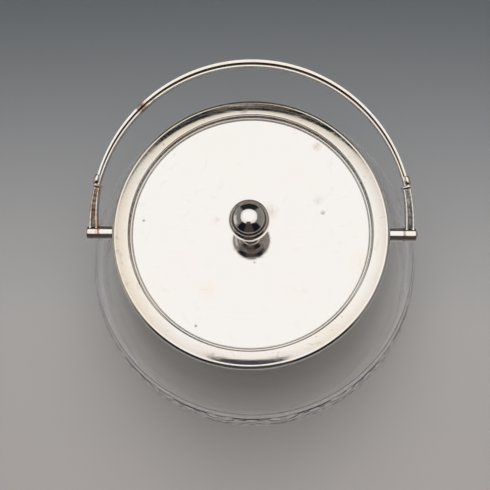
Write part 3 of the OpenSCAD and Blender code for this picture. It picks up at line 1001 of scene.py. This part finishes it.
def reeded_bow_tree():
    """Geometry Nodes tree that sweeps a section along an arc and narrows it towards both ends."""
    tree = new_tree("reeded_bow", "Section", {
        "Bow radius": BOW_MID * MM, "Rise": BOW_RISE * MM, "Start angle": math.radians(TIP_A),
        "Sweep angle": math.radians(180 - 2 * TIP_A), "Width": BOW_W * MM,
        "Taper": BOW_TAPER * MM})
    nodes = Nodes(tree)
    given = tree.nodes.new("NodeGroupInput").outputs
    section = nodes.add("GeometryNodeMeshToCurve", {"Mesh": given["Section"]})
    path = nodes.add("GeometryNodeCurveArc", {
        "Resolution": 220, "Radius": given["Bow radius"],
        "Start Angle": given["Start angle"], "Sweep Angle": given["Sweep angle"]})
    swept = nodes.add("GeometryNodeCurveToMesh", {
        "Curve": path, "Profile Curve": section, "Fill Caps": True})
    x, y, _ = nodes.axes(nodes.add("GeometryNodeInputPosition"))
    reach = nodes.length(x, y)
    rim = nodes.plus(given["Bow radius"], nodes.ratio(given["Width"], 2.0))
    inside = nodes.ratio(nodes.minus(rim, reach), given["Width"])
    slope = nodes.minus(1.0, nodes.ratio(y, reach))
    shift = nodes.times(nodes.times(inside, slope), given["Taper"])
    share = nodes.ratio(shift, reach)
    offset = nodes.add("ShaderNodeCombineXYZ", {
        0: nodes.times(x, share), 1: nodes.plus(nodes.times(y, share), given["Rise"])})
    # Marks the groove, where the bow's finish paints tarnish and shade
    middle = (OUTER_REED + BOW_W - INNER_REED) / 2 / BOW_W
    half = (BOW_W - INNER_REED - OUTER_REED) / 2 / BOW_W
    off = nodes.math("ABSOLUTE", nodes.minus(inside, middle))
    marked = nodes.add("GeometryNodeStoreNamedAttribute", {
        "Geometry": swept, "Name": "groove", "Value": nodes.spread(off, half * 0.3, half, 1.0, 0.0)},
        data_type="FLOAT", domain="POINT")
    narrowed = nodes.add("GeometryNodeSetPosition", {"Geometry": marked, "Offset": offset})
    return end_tree(nodes, narrowed, given["Material"])


def bail_bow():
    """Reeded bow between the two terminals."""
    corners = [(u * MM, v * MM, 0) for u, v in bow_outline()]
    section = bpy.data.meshes.new("reeded_bow")
    section.from_pydata(corners, [(i, (i + 1) % len(corners)) for i in range(len(corners))], [])
    bow = run_tree(linked("reeded_bow", section), reeded_bow_tree(), Material=silver_bow)
    face_outwards(bow.data)
    soften(bow.data, 50)
    in_bail_plane(bow)
    return dress(bow, silver_bow, "silver_plate", "bail", "bail_bow")


glass_bowl()
collar_shell()
seat_ring()
lid_plate()
lid_edge_bead()
lid_skirt()
knob_ball()
knob_neck()
knob_washer()
for end in (-1, 1):
    pivot_lug(end)
    pivot_washer(end)
    pivot_screw(end)
    bail_terminal(end)
bail_bow()

# CAD nodes that keep their own shape
for node, finish in (("neck_cement", plaster_finish), ("knob_stud", brass_finish),
                     ("knob_nut", brass_finish)):
    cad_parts[node].data.materials.clear()
    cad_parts[node].data.materials.append(finish)


# ------------------------------------------------------------------ stage
def staged(name, rim, material, **sight):
    """A flat thing of the studio, in metres; sight names the kinds of ray that don't see it."""
    thing = new_piece(name, [Vector(p) / MM for p in rim], [list(range(len(rim)))])
    thing.data.materials.append(material)
    for ray in sight:
        setattr(thing, f"visible_{ray}", sight[ray])


def sheet(name, xs, ys, z, material, **sight):
    """Level rectangle of the studio."""
    staged(name, [(xs[i], ys[k], z) for i, k in ((0, 0), (1, 0), (1, 1), (0, 1))], material,
           **sight)


def floor_paint():
    """Pale seamless paper, with painted cool shade: bluer towards the far side, where the flag
    shades it.
    """
    finish = Finish("pale_paper")
    _, y, _ = finish.axes(finish.where)
    # Painted cool shade: the paper turns blue-grey towards the far side
    tone = finish.blend(finish.spread(y, -0.10, 0.12), (0.607, 0.592, 0.585),
                        (0.560, 0.592, 0.632))
    tone = finish.blend(finish.spread(finish.noise(3, 3), 0.3, 0.7, 0, 0.3), tone,
                        (0.61, 0.605, 0.60))
    return finish.done(finish.surface(Base_Color=tone, Roughness=0.9))


def softbox_cloth():
    """Light through a softbox's cloth, dimmer and warmer towards its rim."""
    finish = Finish("softbox_cloth")
    x, y, _ = finish.axes(finish.where)
    off = finish.length(finish.ratio(x, SOFTBOX_HALF[0]),
                        finish.ratio(finish.minus(y, SOFTBOX_MID_Y), SOFTBOX_HALF[1]))
    tone = finish.blend(finish.spread(off, 0.55, 1.0), (1.0, 0.985, 0.965), (0.78, 0.71, 0.62))
    return finish.done(finish.add("ShaderNodeEmission", {
        "Color": tone, "Strength": SOFTBOX_GLOW}))


def matt(name, colour):
    """Cloth that reflects little."""
    finish = Finish(name)
    return finish.done(finish.surface(Base_Color=colour, Roughness=1.0))


FLOOR = (-4.0, 4.0)
sheet("floor", FLOOR, FLOOR, 0, floor_paint(), glossy=False)

# Softbox over the jar, seen in the silver and the glass
SOFTBOX_GLOW = 0.99
SOFTBOX_Z = 0.80
SOFTBOX_HALF = (0.65, 0.565)
SOFTBOX_MID_Y = 0.145
SOFTBOX_ROUND = 0.80
SOFTBOX_STEPS = 64
softbox_rim = []
for step in range(SOFTBOX_STEPS):
    x, y = on_circle((0, 0), 1, 360 * step / SOFTBOX_STEPS)
    out_x, out_y = (math.copysign(abs(part) ** SOFTBOX_ROUND, part) for part in (x, y))
    softbox_rim.append((SOFTBOX_HALF[0] * out_x, SOFTBOX_MID_Y + SOFTBOX_HALF[1] * out_y,
                        SOFTBOX_Z))
staged("softbox", softbox_rim, softbox_cloth(), camera=False, diffuse=False, shadow=False)

# Camera and tripod, as the silver sees them before the softbox
CARD_X, CARD_Y, CARD_Z = (-0.17, 0.12), (-0.27, -0.50), 0.79
sheet("camera_back", CARD_X, CARD_Y, CARD_Z, matt("camera_black", (0.28, 0.26, 0.31)),
      camera=False, diffuse=False, shadow=False, transmission=False)

# The same light as it falls on matt things, and the flag that shades the far floor
key_data = bpy.data.lights.new("key", "AREA")
key_data.shape = "RECTANGLE"
key_data.size, key_data.size_y = 0.64, 0.87
key_data.energy = 5.7
key_data.color = (1.07, 0.99, 0.93)
key = linked("key", key_data)
key.location = (0.025, 0.113, 1.014)
key.visible_glossy = False
key.visible_camera = False

FLAG_X, FLAG_Y, FLAG_Z = (-2, 2), (0.095, 3), 0.2
sheet("flag", FLAG_X, FLAG_Y, FLAG_Z, matt("flag_cloth", (0.01, 0.01, 0.01)),
      camera=False, diffuse=False, glossy=False, transmission=False)


def studio_air():
    """The room as the silver sees it, and plain light for matt things, the camera and the glass.

    Grey walls stand left and right, with a window on the left, a dark room in front that is
    warmer in its middle, and a dark curtain behind. The lit edge of the table runs all round,
    with the shaded table below it and pale floor straight down.
    """
    world = bpy.data.worlds.new("studio")
    bpy.context.scene.world = world
    world.use_nodes = True
    nodes = Nodes(world.node_tree)
    world.node_tree.nodes.clear()
    way = nodes.add("ShaderNodeTexCoord", output="Generated")
    x, y, z = nodes.axes(way)
    level = nodes.length(x, y)
    ahead, aside = nodes.ratio(y, level), nodes.ratio(x, level)
    across = nodes.math("ABSOLUTE", aside)
    band, over = nodes.spread, nodes.blend
    room = over(band(z, 0.0, 0.75), (0.24, 0.23, 0.22), (0.17, 0.165, 0.16))
    window = nodes.times(band(aside, -0.93, -0.97), band(z, 0.36, 0.26))
    room = over(window, room, (0.62, 0.60, 0.56))
    room = over(band(ahead, 0.76, 0.84), room, (0.012, 0.018, 0.020))
    dark = over(band(across, 0.34, 0.42), (0.055, 0.046, 0.043), (0.008, 0.008, 0.014))
    room = over(band(ahead, -0.44, -0.56), room, dark)
    room = over(band(z, 0.03, 0.01), room, (0.46, 0.42, 0.37))
    under = over(band(ahead, -0.2, -0.5), (0.07, 0.055, 0.045), (0.022, 0.017, 0.014))
    room = over(band(z, -0.02, -0.05), room, under)
    room = over(band(z, -0.28, -0.42), room, (0.34, 0.33, 0.325))
    rays = world.node_tree.nodes.new("ShaderNodeLightPath")
    reflected = nodes.add("ShaderNodeBackground", {"Color": room})
    fill = nodes.add("ShaderNodeBackground", {"Color": (0.140, 0.152, 0.158)})
    backdrop = over(band(z, -0.02, 0.5), (0.40, 0.40, 0.40), (0.24, 0.245, 0.25))
    seen_through = over(band(ahead, 0.1, 0.5), backdrop, (0.05, 0.06, 0.07))
    backdrop = over(rays.outputs["Is Transmission Ray"], backdrop, seen_through)
    plain = nodes.add("ShaderNodeBackground", {"Color": backdrop})
    for_matt = nodes.add("ShaderNodeMixShader", {
        0: rays.outputs["Is Diffuse Ray"], 1: reflected, 2: fill})
    straight = nodes.math("MAXIMUM", rays.outputs["Is Camera Ray"],
                          rays.outputs["Is Transmission Ray"])
    mixed = nodes.add("ShaderNodeMixShader", {0: straight, 1: for_matt, 2: plain})
    nodes.add("ShaderNodeOutputWorld", {"Surface": mixed})


studio_air()

# ------------------------------------------------------------------ camera
FRAME_PX = 490
FOCAL_PX = 1000.0
SENSOR = 36.0
ELEVATION = 75.2
AZIMUTH = 8.5
ROLL_TURN = 7.8
DISTANCE = 0.440
LID_CENTRE_PX = (250.4, 230.9)

camera_data = bpy.data.cameras.new("camera")
camera_data.sensor_width = SENSOR
camera_data.lens = FOCAL_PX / FRAME_PX * SENSOR
camera_data.clip_start = 0.01
camera = linked("camera", camera_data)
bpy.context.scene.camera = camera

az, el, roll = (math.radians(a) for a in (AZIMUTH, ELEVATION, ROLL_TURN))
back = Vector((math.sin(az) * math.cos(el), -math.cos(az) * math.cos(el), math.sin(el)))
level = Vector((0, 0, 1)).cross(back).normalized()
upright = back.cross(level)
right = level * math.cos(roll) - upright * math.sin(roll)
upward = level * math.sin(roll) + upright * math.cos(roll)
shift_right = (LID_CENTRE_PX[0] - FRAME_PX / 2) / FOCAL_PX * DISTANCE
shift_up = (FRAME_PX / 2 - LID_CENTRE_PX[1]) / FOCAL_PX * DISTANCE
eye = Vector((0, 0, LID_Z * MM)) - right * shift_right - upward * shift_up + back * DISTANCE
camera.matrix_world = Matrix.Translation(eye) @ Matrix(
    (right, upward, back)).transposed().to_4x4()

bpy.context.scene.view_settings.view_transform = "Standard"
